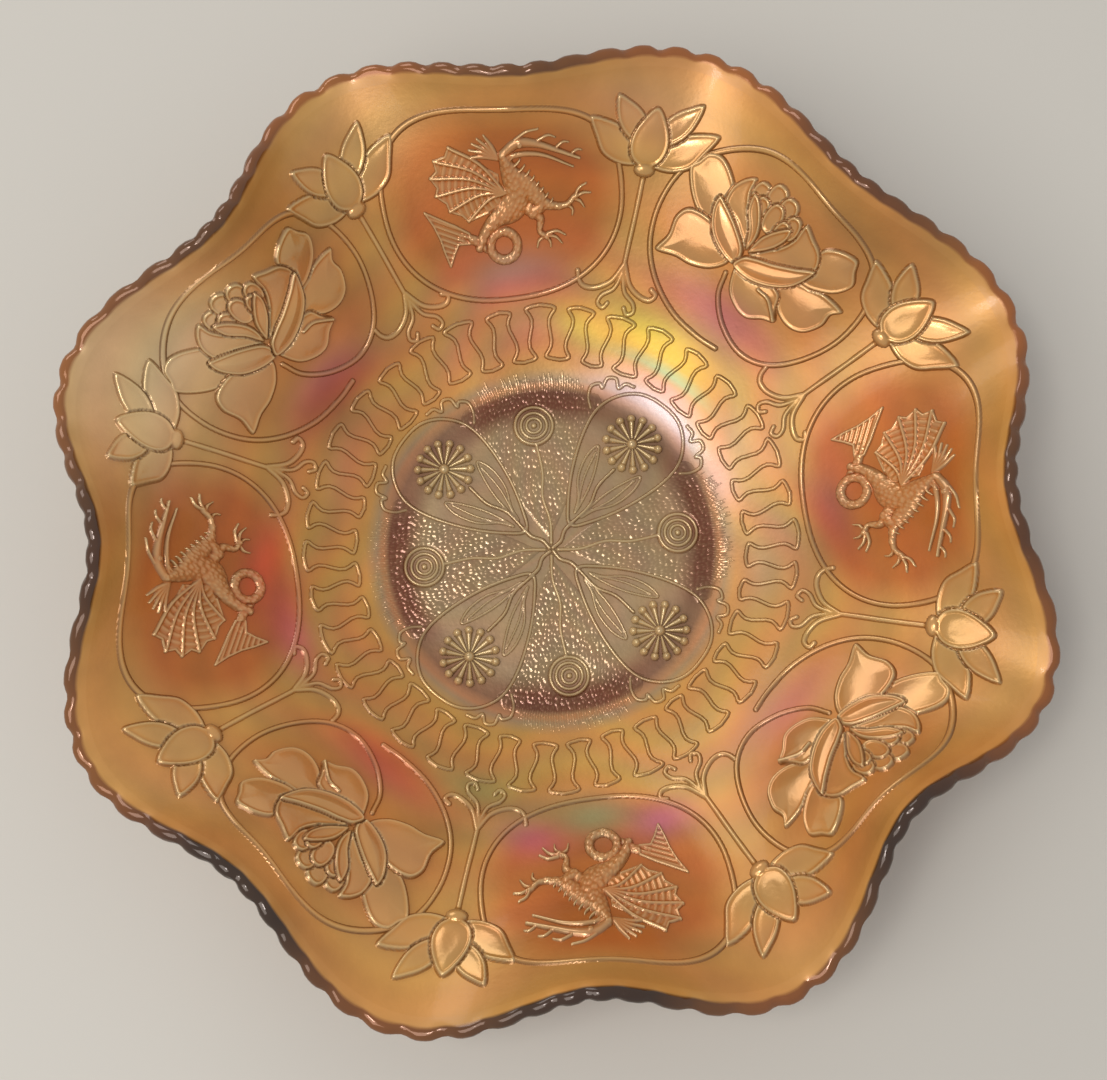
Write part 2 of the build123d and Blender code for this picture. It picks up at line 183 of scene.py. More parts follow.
class Drawing:
    """Relief heights over a rectangle of the pattern, x across the motif and y outwards."""

    def __init__(self, x_low, x_high, y_low, y_high, cell=CELL):
        self.xs = np.arange(x_low, x_high + cell / 2, cell)
        self.ys = np.arange(y_low, y_high + cell / 2, cell)
        self.cell = cell
        self.x, self.y = np.meshgrid(self.xs, self.ys)
        self.height = np.full(self.x.shape, BARE_GLASS)

    def distance(self, path, reach):
        """Distance to a line, and how far along it the nearest point is, within reach."""
        away = np.full(self.x.shape, 1e3)
        along = np.zeros(self.x.shape)
        lengths = np.hypot(*np.diff(path, axis=0).T)
        starts = np.concatenate([[0.0], np.cumsum(lengths)])
        for i, length in enumerate(lengths):
            if length < 1e-9:
                continue
            (ax, ay), (bx, by) = path[i], path[i + 1]
            c0, c1 = np.searchsorted(self.xs, [min(ax, bx) - reach, max(ax, bx) + reach])
            r0, r1 = np.searchsorted(self.ys, [min(ay, by) - reach, max(ay, by) + reach])
            if c0 >= c1 or r0 >= r1:
                continue
            window = (slice(r0, r1), slice(c0, c1))
            px, py = self.x[window] - ax, self.y[window] - ay
            ux, uy = (bx - ax) / length, (by - ay) / length
            run = np.clip(px * ux + py * uy, 0, length)
            near = np.hypot(px - run * ux, py - run * uy)
            better = near < away[window]
            away[window] = np.where(better, near, away[window])
            along[window] = np.where(better, (starts[i] + run) / starts[-1], along[window])
        return away, along

    def inside(self, outline):
        """True inside a closed outline."""
        found = np.zeros(self.x.shape, bool)
        x0, y0 = outline[-1]
        for x1, y1 in outline:
            crosses = (y0 > self.y) != (y1 > self.y)
            if crosses.any():
                found ^= crosses & (self.x < (x1 - x0) * (self.y - y0) / (y1 - y0 + 1e-12) + x0)
            x0, y0 = x1, y1
        return found

    def depth_in(self, outline, reach):
        """Distance to an outline, positive inside it."""
        loop = np.vstack([outline, outline[:1]])
        away = np.minimum(self.distance(loop, reach)[0], reach)
        return np.where(self.inside(outline), away, -away)

    def raise_to(self, height, where):
        """Keeps the higher of what is drawn and a new shape."""
        self.height = np.where(where, np.maximum(self.height, height), self.height)

    def lay_over(self, height, where):
        """A new shape covers what was drawn under it."""
        self.height = np.where(where, height, self.height)

    def cord(self, path, width, height):
        """A raised round line."""
        away = self.distance(np.asarray(path), width + self.cell)[0]
        t = away / (width / 2)
        self.raise_to(height * (1 - t ** EDGE_POWER), away < width / 2 + 1.5 * self.cell)

    def limb(self, points, widths, height, steps=8):
        """A rounded limb whose width changes along it. Returns 0 on its middle line and 1 on its edge."""
        path = smooth_path(points, steps=steps)
        shares = np.linspace(0, 1, 64)
        widths = np.interp(shares, np.linspace(0, 1, len(widths)), widths)
        away, along = self.distance(path, widths.max() / 2 + 2 * self.cell)
        half = np.interp(along, shares, widths) / 2
        t = away / half
        self.raise_to(height * (1 - t ** EDGE_POWER), away < half + 1.5 * self.cell)
        return t

    def petal(self, outline, height, lip=0.45, dome=0.5, reach=3.4, tilt=(0.0, 0.0)):
        """A petal with a raised lip and a softly domed middle that covers what lies under it."""
        line = smooth_path(outline, closed=True)[:-1]
        depth = self.depth_in(line, reach)
        rim = np.exp(-((depth - 0.45) / 0.36) ** 2)
        middle = 1 - (1 - np.clip(depth / reach, 0, 1)) ** 2
        centre = line.mean(0)
        lean = tilt[0] * (self.x - centre[0]) + tilt[1] * (self.y - centre[1])
        shape = np.maximum(height * 0.42 + lip * rim + dome * middle + lean, 0.12)
        edge = (depth + 0.15) / 0.4
        self.lay_over(shape * np.clip(edge, 0, 1), edge > 0)
        self.raise_to(shape * edge, (edge <= 0) & (depth > -0.15 - 1.5 * self.cell))


def hashed(a, b, seed):
    """A fixed number from 0 to 1 for each pair of whole numbers."""
    value = np.sin(a * 127.1 + b * 311.7 + seed * 74.7) * 43758.5453
    return value - np.floor(value)


def pebbles(u, v, seed, jitter=0.7):
    """Nearest-seed distance on a jittered lattice of unit cells."""
    cell_u, cell_v = np.floor(u), np.floor(v)
    best = np.full(u.shape, 9.0)
    for du in (-1, 0, 1):
        for dv in (-1, 0, 1):
            cu, cv = cell_u + du, cell_v + dv
            su = cu + 0.5 + jitter * (hashed(cu, cv, seed) - 0.5)
            sv = cv + 0.5 + jitter * (hashed(cu, cv, seed + 1) - 0.5)
            best = np.minimum(best, np.hypot(u - su, v - sv))
    return best


# ------------------------------------------------------------------ motifs
def draw_dragon():
    """A winged dragon seen from the side, with a coiled tail."""
    sheet = Drawing(-21.5, 21.5, 66.5, 97.5, 0.18)
    # wing: ribs fan out from the shoulder, with membrane between them
    shoulder = (0.2, 82.6)
    tips = [(-11.8, 91.9), (-15.4, 89), (-16.6, 85.6), (-15.9, 82.2), (-13.2, 79.2), (-9.2, 77.2)]
    edge = [(-1, 86.6), (-6, 89.4)]
    for k, (x, y) in enumerate(tips):
        edge.append((x, y))
        if k + 1 < len(tips):
            nx, ny = tips[k + 1]
            edge.append(((x + nx) / 2 * 0.94, (y + ny) / 2 * 0.94 + shoulder[1] * 0.06))
    edge += [(-4.4, 78.8), (-1.2, 80.4)]
    membrane = sheet.depth_in(np.asarray(edge), 2.0)
    reach = np.hypot(sheet.x - shoulder[0], sheet.y - shoulder[1])
    ladder = 0.14 * np.cos(2 * np.pi * reach / 1.45)
    sheet.lay_over(0.30 + ladder * np.clip(membrane, 0, 1), membrane > 0)
    for x, y in tips:
        bow = ((x + shoulder[0]) / 2 + 0.6, (y + shoulder[1]) / 2 + 1.6)
        sheet.cord(smooth_path([shoulder, bow, (x, y)]), 0.95, 0.72)
    sheet.cord(np.asarray(edge[1:-1]), 0.7, 0.55)
    # tail: a coil, then a run to a forked fin
    scale_rows = [sheet.limb([(-5.6, 71.6), (-8.4, 73.2), (-11.6, 74)], [2.8, 2.3, 2.0], 0.8)]
    fin = [(-9.4, 74.6), (-12.4, 76.2), (-15.4, 77.4), (-19, 78.9), (-17.4, 76.4), (-16.2, 73.6),
           (-15.6, 71), (-14.7, 68.2), (-13.5, 70.6), (-12.2, 72.6), (-9.6, 72.6)]
    depth = sheet.depth_in(np.asarray(fin), 2.0)
    sheet.lay_over(0.34 + 0.15 * np.cos(2 * np.pi * (sheet.x * 0.35 + sheet.y) / 1.1), depth > 0)
    sheet.cord(np.vstack([fin, fin[:1]]), 0.7, 0.6)
    coil = smooth_path(oval((-1.6, 71.6), 3.2, 3.0, count=14), closed=True)
    away = sheet.distance(coil, 1.6)[0]
    sheet.lay_over(0.9 * (1 - (away / 1.2) ** EDGE_POWER), away < 1.2)
    scale_rows.append(away / 1.2)
    # body, shoulder, hind leg and front leg
    limbs = [
        ([(-7.4, 71.6), (-5.6, 74.6), (-2.6, 77.2), (1.2, 79.4), (3, 82.6), (1.6, 86.8), (0.4, 90.6)],
         [2.2, 3.0, 4.2, 6.6, 7.0, 4.6, 2.4], 1.15),
        ([(2.6, 86.4), (5.4, 83.2), (8, 79.6), (6, 77.6)], [3.4, 5.0, 4.2, 2.6], 1.05),
        ([(5.4, 78.6), (7.6, 76.4), (7.2, 73.8), (8.6, 72.4)], [3.2, 2.4, 1.5, 1.5], 0.9),
        ([(8.4, 79.6), (11.4, 78.4), (14, 78.2), (16.4, 79.6)], [3.0, 2.0, 1.5, 1.5], 0.9),
    ]
    for points, widths, height in limbs:
        scale_rows.append(sheet.limb(points, widths, height))
    for claw in ([(8.4, 72.6), (6.8, 71.8), (6.2, 70.3)], [(8.6, 72.4), (9.4, 71.2), (9.4, 70)],
                 [(8.8, 72.6), (10.8, 72), (12.2, 70.4)], [(9, 73), (11.2, 73.2), (13.2, 72)],
                 [(16.2, 79.4), (17.4, 81), (19.2, 81.6)], [(16.6, 79.4), (18.2, 79.8), (20, 79.4)],
                 [(16.2, 79), (17.4, 78.2), (18.2, 76.8)], [(14.4, 78.2), (15.4, 77), (15.2, 75.8)]):
        sheet.limb(claw, [1.1, 0.8, 0.35], 0.75)
    # head: crest, two jaws, horn and whiskers
    for k in range(5):
        turn = math.radians(112 + 17 * k)
        tip = (-1.2 + 6.4 * math.cos(turn), 90.2 + 5.0 * math.sin(turn))
        sheet.limb([(-0.8, 90), ((tip[0] - 0.8) / 2, (tip[1] + 90.6) / 2), tip], [1.4, 1.3, 0.5], 0.55)
    sheet.limb([(0.4, 90.8), (4, 92.8), (8.4, 92.2), (13, 90), (18.2, 87)], [2.2, 2.5, 1.7, 1.2, 0.7], 0.95)
    sheet.limb([(1.6, 90.2), (6, 90.4), (10.6, 89.2), (16.6, 85.6)], [1.6, 1.3, 0.9, 0.5], 0.7)
    for barb in ([(3.6, 93.6), (6.4, 95), (9.4, 95.2)], [(9, 92.8), (11.4, 93.4), (13.2, 92.6)],
                 [(13, 90.4), (14.8, 91.2), (16.2, 90.8)], [(16.2, 88.2), (17.8, 88.8), (19, 88.4)]):
        sheet.limb(barb, [0.9, 0.7, 0.3], 0.6)
    sheet.lay_over(1.15, np.hypot(sheet.x - 4.6, sheet.y - 92.6) < 0.55)
    # scales and fur over the rounded parts
    body = np.zeros(sheet.x.shape, bool)
    for t in scale_rows:
        body |= t < 0.9
    u = (sheet.x * 0.8 - sheet.y * 0.6) / 0.95
    v = (sheet.x * 0.6 + sheet.y * 0.8) / 1.35
    sheet.height = np.where(body, sheet.height + 0.34 * (0.55 - pebbles(u, v, 3)), sheet.height)
    for k in range(9):
        x, y = 2.0 + 0.95 * k, 90.0 - 1.35 * k
        sheet.limb([(x - 0.6, y - 0.8), (x + 0.7, y + 0.1), (x + 1.5, y + 0.9)], [0.9, 0.7, 0.25], 0.8)
    return sheet


def draw_lotus():
    """An open lotus: broad outer petals, a cupped middle and small petals at its heart."""
    sheet = Drawing(-27.5, 23.0, 68.5, 98.5, 0.22)
    petal = sheet.petal
    petal([(-13.4, 83.4), (-13.6, 88), (-17, 90.6), (-20.8, 91.6), (-23.8, 90.4), (-25, 88), (-26, 86),
           (-23.2, 83), (-19.4, 80.9), (-15.4, 80.8)], 1.0, dome=0.9, reach=5.0, tilt=(-0.02, 0.03))
    petal([(-6.4, 77.6), (-9, 74), (-13.4, 71.9), (-17.6, 71.2), (-22.4, 69.8), (-21.8, 73.6),
           (-22.6, 77.4), (-20.8, 80.4), (-15.6, 81.6),
           (-9.4, 81)], 1.0, dome=0.9, reach=5.0, tilt=(-0.03, 0.02))
    petal([(6.4, 79.4), (9.6, 75.4), (13.8, 73.7), (17.6, 74.4), (20.2, 77.4), (20.5, 80.2), (22.2, 82),
           (17.4, 83.5), (13, 83.4), (9, 82.6)], 1.0, dome=0.9, reach=5.0, tilt=(0.03, -0.02))
    petal([(9, 84.6), (10, 88.4), (10.8, 91.6), (14.2, 93.2), (18.4, 93), (19.7, 90.4), (20.9, 87.6),
           (18.8, 84.8), (15.2, 83.3), (11.2, 82.8)], 1.0, dome=0.9, reach=4.4, tilt=(0.03, 0.03))
    petal([(-4.8, 78.6), (-3, 73.4), (0.6, 70.9), (4.4, 70.3), (7.8, 72), (10.6, 73), (9.2, 75.8),
           (7.6, 78.8), (2, 80), (-2.4, 79.6)], 1.05, dome=0.9, reach=4.4, tilt=(0, -0.03))
    # the folded edge of the lowest petal
    sheet.cord(smooth_path([(3.2, 77), (6.2, 76.6), (8.6, 74.8), (10.2, 73.3)]), 1.1, 1.9)
    # the cup's back petals
    petal([(-4.8, 81.4), (-9.8, 84.2), (-14.4, 85.2), (-15.4, 88.6), (-14, 91.8), (-11.6, 93.6),
           (-10.8, 90.6), (-8.4, 87.6), (-5.4, 84.4)], 1.2, lip=0.55, dome=0.3, reach=2.6)
    petal([(-3.8, 81.4), (-0.6, 84.6), (2.2, 87.2), (3.7, 90), (4.3, 93.9), (7.6, 92.4), (10.9, 90.2),
           (11.8, 86.6), (7, 84.2), (1.6, 82.2)], 1.2, lip=0.55, dome=0.3, reach=2.6)
    # small petals at the heart
    for x, y, half_width, half_height in ((-8.6, 92.0, 2.5, 2.7), (-5.0, 94.0, 2.6, 2.8),
                                          (-1.2, 93.6, 2.5, 2.7), (1.8, 91.2, 2.2, 2.8),
                                          (-7.0, 89.4, 2.3, 3.2), (-3.2, 90.2, 2.4, 3.4),
                                          (0.2, 88.6, 2.1, 3.2)):
        petal(oval((x, y), half_width, half_height, 2.2, 12), 1.0, lip=0.55, dome=0.35, reach=1.8)
    petal([(-4.6, 81.6), (-6.8, 85.2), (-9.6, 88.2), (-10.2, 91.4), (-7.8, 90.8), (-5, 87.8), (-3.9, 84.6)],
          1.15, lip=0.55, dome=0.3, reach=1.6)
    petal([(-4, 81.6), (-3.2, 85.8), (-0.6, 89.4), (1.9, 91.2), (2.4, 88.8), (0.8, 85.6), (-2, 82.8)],
          1.15, lip=0.55, dome=0.3, reach=1.6)
    # the cup's two front petals, with a deep lip along their tops
    petal([(-5.2, 77.6), (-9.4, 78), (-13.6, 79.8), (-16.4, 83.2), (-16.6, 86.2), (-14.4, 85.9),
           (-9.8, 84.3), (-5.6, 81.9),
           (-4.4, 79.4)], 1.35, lip=0.7, dome=1.2, reach=4.0, tilt=(-0.02, -0.05))
    petal([(-5.2, 77.6), (-0.5, 77.2), (5.2, 78.8), (9.8, 81.8), (12.2, 86.8), (7.6, 85.2), (3, 83.4),
           (-1.2, 82), (-4.2, 80.4)], 1.4, lip=0.7, dome=1.3, reach=4.4, tilt=(0.02, -0.05))
    sheet.height *= np.where(sheet.height > 0, 0.85, 1.0)
    return sheet


def draw_dragon_cord():
    """The oval line round a dragon."""
    sheet = Drawing(-30.5, 29.5, 57.5, 103.0)
    sheet.cord(smooth_path(oval((-0.5, 80.2), 27.6, 20.0, 2.35, 36), closed=True), CORD_WIDTH, CORD_HEIGHT)
    return sheet


def draw_lotus_cord():
    """The line round a lotus, which runs in from the flower's stalk and stops short of closing."""
    sheet = Drawing(-30.5, 29.5, 58.0, 103.5)
    spiral = [(-5.6, 75.2), (-4, 70.5), (1, 66), (8, 63.4), (15, 64.6), (21, 69.4), (25.2, 76.5),
              (25.8, 85), (22.4, 92.4), (16, 97), (7, 99.6), (-3, 101), (-12, 99.2),
              (-20, 93.8), (-26.4, 86), (-27.4, 78), (-24.6, 70.6), (-19, 65.4), (-11, 62),
              (-3, 61), (2.6, 61.2)]
    sheet.cord(smooth_path(spiral), CORD_WIDTH, CORD_HEIGHT)
    return sheet


def draw_bud_spray():
    """A lotus bud on a long stem that ends in scrolls between two medallions."""
    sheet = Drawing(-17.5, 16.0, 53.0, 102.5)
    left = [[(-2.4, 88), (-6.6, 87.2), (-11.2, 88.6), (-13.8, 91.6), (-16.2, 95.6), (-11.8, 95.4),
             (-7.2, 94), (-3.6, 91.6)],
            [(-2.8, 91.4), (-6.8, 92.4), (-9.8, 95.4), (-11, 100), (-7.4, 99), (-4.2, 97.2), (-2, 94.6)]]
    for outline in left:
        sheet.petal(outline, 0.8, dome=0.5, reach=2.4)
        sheet.petal([(-2.2 - x, y) for x, y in outline], 0.8, dome=0.5, reach=2.4)
    sheet.petal([(-1.2, 87.2), (-4.6, 88.6), (-5.8, 91.8), (-4.6, 95.4), (-1.4, 98.4), (1.8, 95.4),
                 (3.2, 91.8), (2.1, 88.6)], 1.0, dome=0.7, reach=3.0)
    for path, width in (([(-0.9, 86.6), (-0.5, 79), (-0.3, 72), (-0.1, 66.6)], 1.4),
                        ([(-0.2, 68.6), (-2.2, 64.8), (-5.4, 62.6), (-8.2, 62.2), (-9.8, 63.2),
                          (-10.6, 65)], 1.4),
                        ([(0, 68.6), (2.2, 64.8), (5, 63), (7.6, 62.6), (8.8, 63.9), (7.6, 64.8)], 1.4),
                        ([(-0.1, 66.8), (-1.2, 63.4), (-3.6, 61.4), (-4.2, 59.6), (-2.8, 58.8),
                          (-1.9, 60)], 1.2),
                        ([(0.1, 66.8), (1.4, 63.2), (4, 61.2), (4.6, 59.4), (3.2, 58.6),
                          (2.2, 59.8)], 1.2)):
        sheet.cord(smooth_path(path), width, CORD_HEIGHT)
    away = np.hypot((sheet.x + 1.0) / 2.5, (sheet.y - 87.0) / 1.5)
    sheet.raise_to(1.5 * np.sqrt(np.clip(1 - away ** 2, 0, 1)), away < 1)
    return sheet


def ribbon_points(first, last):
    """The ribbon's line round the bowl, with slightly uneven loops as in hand-cut moulds."""
    place = np.linspace(first, last, int((last - first) * 40) + 1)
    phase = 2 * np.pi * place
    middle = (BAND_INNER + BAND_OUTER) / 2
    swing = (BAND_OUTER - BAND_INNER) / 2 - 0.5
    radius = middle - swing * np.tanh(1.6 * np.cos(phase)) / math.tanh(1.6) + 0.35 * np.sin(2.1 * place)
    # wide round ends with a narrow neck between them
    wave = (0.12 + 0.03 * np.sin(2.7 * place)) * np.sin(2 * phase) - 0.08 * np.sin(6 * phase)
    wave += 0.02 * np.sin(3 * phase + 1.7 * place)
    angle = 2 * math.pi / RIBBON_LOOPS * (place + wave)
    return np.stack([radius * np.sin(angle), radius * np.cos(angle)], -1)


def draw_ribbon():
    loops = RIBBON_LOOPS // 4
    sheet = Drawing(-44.0, 44.0, 30.0, 61.0)
    sheet.cord(ribbon_points(-loops / 2, loops / 2), 1.05, 0.5)
    # the quarter stops on its own side of the joints with its neighbours
    turn = np.degrees(np.arctan2(sheet.x, sheet.y))
    sheet.height = np.where(np.abs(turn) > 45.2, BARE_GLASS, sheet.height)
    return sheet


def draw_petal():
    """A teardrop petal drawn as a raised line on a stalk, with two slim leaves and a vein inside it."""
    sheet = Drawing(-19.0, 19.0, 0.0, 46.0)
    half = [(0, 44.2), (5.6, 43.2), (9.8, 39.6), (11.9, 34.2), (11, 27.2), (7.8, 18.6), (3.6, 11.4)]
    outline = half + [(0, 7.6)] + mirrored(half[:0:-1])
    sheet.cord(smooth_path(outline, closed=True), 1.0, 0.5)
    sheet.cord(smooth_path([(0, 0.6), (0.5, 3), (-0.3, 5.6), (0, 8.4)]), 1.1, 0.55)
    sheet.cord(smooth_path([(0, 8.4), (0.8, 14), (-0.4, 19), (0.2, 24.6)]), 0.9, 0.6)
    for side in (-1, 1):
        leaf = [(side * x, y) for x, y in ((0.9, 10.6), (2.4, 13.8), (5.6, 18.2), (7, 23.4), (6.2, 27),
                                           (3.6, 22.4), (1.8, 17))]
        sheet.cord(smooth_path(leaf, closed=True), 0.7, 0.35)
        sheet.cord(smooth_path([(side * 1.2, 12.0), (side * 4.2, 18.4), (side * 5.8, 25.4)]), 0.6, 0.35)
        cloud = [(side * x, y) for x, y in ((13.4, 33.4), (15.4, 35.2), (16.4, 37.6), (15.2, 39.4),
                                            (14, 39), (14.4, 41.4), (12.6, 42.6), (10.8, 41.2),
                                            (10, 43), (8, 43.6))]
        sheet.cord(smooth_path(cloud), 1.0, 0.5)
    return sheet


def draw_rosette():
    """Fourteen slim petals with beaded tips round a button."""
    sheet = Drawing(-8.6, 8.6, 23.6, 41.2, 0.16)
    cx, cy = 0.0, 32.2
    for k in range(14):
        turn = 2 * math.pi * (k + 0.5) / 14
        ux, uy = math.sin(turn), math.cos(turn)
        line = np.array([(cx + r * ux, cy + r * uy) for r in (1.5, 3.0, 4.6, 6.2)])
        away, along = sheet.distance(line, 1.6)
        half = 0.28 + 0.72 * along
        sheet.raise_to((0.7 + 0.6 * along) * (1 - (away / half) ** 2.2), away < half + 1.5 * sheet.cell)
        bead = np.hypot(sheet.x - cx - 6.3 * ux, sheet.y - cy - 6.3 * uy) / 1.05
        sheet.raise_to(1.9 * np.sqrt(np.clip(1 - bead ** 2, 0, 1)), bead < 1)
    button = np.hypot(sheet.x - cx, sheet.y - cy) / 1.35
    sheet.raise_to(1.6 * np.sqrt(np.clip(1 - button ** 2, 0, 1)), button < 1)
    return sheet


def draw_target():
    """Rings within rings at the end of a stalk."""
    sheet = Drawing(-5.8, 5.8, 1.0, 36.4)
    for radius, width, height in ((4.5, 0.95, 0.6), (3.1, 0.9, 0.62), (1.8, 0.8, 0.64)):
        sheet.cord(smooth_path(oval((0, 30.5), radius, radius, count=16), closed=True), width, height)
    button = np.hypot(sheet.x, sheet.y - 30.5) / 0.75
    sheet.raise_to(0.8 * np.sqrt(np.clip(1 - button ** 2, 0, 1)), button < 1)
    sheet.cord(smooth_path([(0.2, 1.6), (0.7, 7), (-0.3, 13), (0.5, 19), (0, 25.8)]), 1.0, 0.55)
    return sheet


def draw_ground():
    """Ground between two petals: short fur that grows outwards and ends in loose hair tips."""
    sheet = Drawing(-18.5, 18.5, 3.0, 45.4)
    side = [(0, 2.6), (2.6, 6.4), (5.6, 11.6), (7.6, 18), (10.8, 26.2), (14.2, 31), (17.6, 32.6),
            (16.6, 36.8), (13.6, 40.6)]
    outline = np.array(side + mirrored(side[:0:-1]))
    depth = sheet.depth_in(outline, 2.5)
    radius = np.hypot(sheet.x, sheet.y)
    angle = np.arctan2(sheet.x, sheet.y)
    # outside the outline, the ground runs on as hairs up to its own edge
    hair_zone = (radius > 38.0) & (np.abs(angle) < math.radians(22.0))
    across = angle * 41.0 / 0.62 + 0.25 * np.sin(radius * 0.9)
    strand = np.floor(across)
    length = GROUND_RADIUS - 1.6 + 2.4 * hashed(strand, 0.0, 5) - 26.0 * np.clip(np.abs(angle) - 0.26, 0, 1)
    hair = 0.34 * np.clip(1 - np.abs(across - strand - 0.5) / 0.42, 0, 1)
    hair = hair * np.clip((length - radius) / 1.6, 0, 1)
    u = angle * np.maximum(radius, 6.0) / 0.7 + 0.6 * np.sin(radius * 0.5)
    v = radius / 1.25 + 0.4 * np.sin(angle * 9.0)
    fur = 0.10 + 0.26 * np.clip(0.78 - pebbles(u, v, 11), 0, 1)
    blend = np.clip((radius - 37.5) / 2.5, 0, 1)
    height = (1 - blend) * fur + blend * np.where(hair_zone, hair, 0.0)
    fade = np.clip((depth + 0.1) / 0.7, 0, 1)
    fade = np.maximum(fade, np.where(hair_zone & (radius > 39.0), 1.0, 0.0))
    height = height * fade
    clear = np.clip((np.hypot(sheet.x, sheet.y - 30.5) - 4.9) / 0.6, 0, 1)
    height = height * clear
    sheet.height = np.where(height > 0.015, height, BARE_GLASS)
    return sheet


# ------------------------------------------------------------------ colour of the sprayed and fired finish, with painted highlights and painted reflections
def linear(red, green, blue):
    """Linear colour from everyday 0 to 255 values."""
    value = np.array([red, green, blue]) / 255
    return np.where(value <= 0.04045, value / 12.92, ((value + 0.055) / 1.055) ** 2.4)


AMBER = linear(192, 136, 66)
DEEP_AMBER = linear(180, 94, 28)
GOLD = linear(190, 136, 64)
TAN = linear(152, 122, 86)
FOOT_BROWN = linear(102, 46, 16)
# iridescent colour patches in the spray, mixed with painted highlights, painted reflections and painted shade
# from the lights: the pale glare on the rising edge of the floor, and the lighter and darker patches high on
# the wall
# radius, turn in degrees, reach outwards, reach round, colour, strength
IRIDESCENCE_AND_HIGHLIGHTS = [
    (64, 90, 7, 12, linear(196, 112, 100), 0.7),
    (66, 90, 3, 7, linear(150, 140, 110), 0.35),
    (66, 0, 5, 11, linear(164, 78, 70), 0.6),
    (67, 180, 6, 13, linear(206, 80, 52), 0.7),
    (63, 193, 4, 7, linear(190, 84, 110), 0.5),
    (65, 270, 4.5, 8, linear(136, 138, 96), 0.75),
    (69, 258, 4, 6, linear(186, 84, 120), 0.55),
    (69, 283, 4, 6, linear(180, 84, 130), 0.5),
    (67, 45, 5, 13, linear(164, 84, 112), 0.55),
    (66, 135, 5, 10, linear(190, 96, 110), 0.5),
    (66, 225, 5, 11, linear(186, 80, 70), 0.55),
    (66, 315, 5, 10, linear(182, 92, 96), 0.5),
    (55.5, 55, 4, 15, linear(236, 206, 66), 0.85),
    (55, 74, 4, 8, linear(232, 190, 84), 0.7),
    (50.8, 49, 1.4, 14, linear(160, 190, 150), 0.7),
    (47.6, 47, 1.8, 17, linear(240, 160, 140), 0.75),
    (53, 88, 6, 9, linear(216, 130, 96), 0.55),
    (52, 20, 6, 10, linear(196, 150, 112), 0.5),
    (52, 350, 7, 16, linear(166, 130, 108), 0.5),
    (52, 105, 7, 12, linear(204, 130, 90), 0.5),
    (52, 150, 7, 16, linear(190, 112, 84), 0.4),
    (52, 200, 7, 16, linear(206, 126, 70), 0.4),
    (43, 45, 3.0, 22, linear(214, 196, 196), 0.75),
    (44, 15, 3.0, 10, linear(216, 170, 150), 0.5),
    (62, 137, 6, 15, linear(146, 62, 40), 0.7),
    (61, 247, 4, 13, linear(146, 140, 84), 0.6),
    (62, 226, 5, 14, linear(196, 84, 44), 0.5),
    (101, 110, 8, 9, linear(196, 150, 90), 0.6),
    (100, 70, 7, 9, linear(222, 160, 110), 0.5),
    (97, 150, 14, 14, linear(216, 190, 146), 0.7),
    (98, 30, 8, 16, linear(160, 104, 48), 0.6),
    (100, 160, 9, 13, linear(206, 160, 108), 0.5),
    (98, 215, 9, 20, linear(208, 146, 84), 0.5),
    (100, 300, 8, 20, linear(190, 118, 58), 0.4),
]


def oval_share(x, y, centre, half_width, half_height, squareness, softness):
    """1 inside an oval, falling to 0 outside it."""
    reach = (np.abs((x - centre[0]) / half_width) ** squareness
             + np.abs((y - centre[1]) / half_height) ** squareness) ** (1 / squareness)
    return np.clip((1 + softness - reach) / (2 * softness), 0, 1)


def blended(colour, other, share):
    share = np.asarray(share)[..., None]
    return colour * (1 - share) + other * share


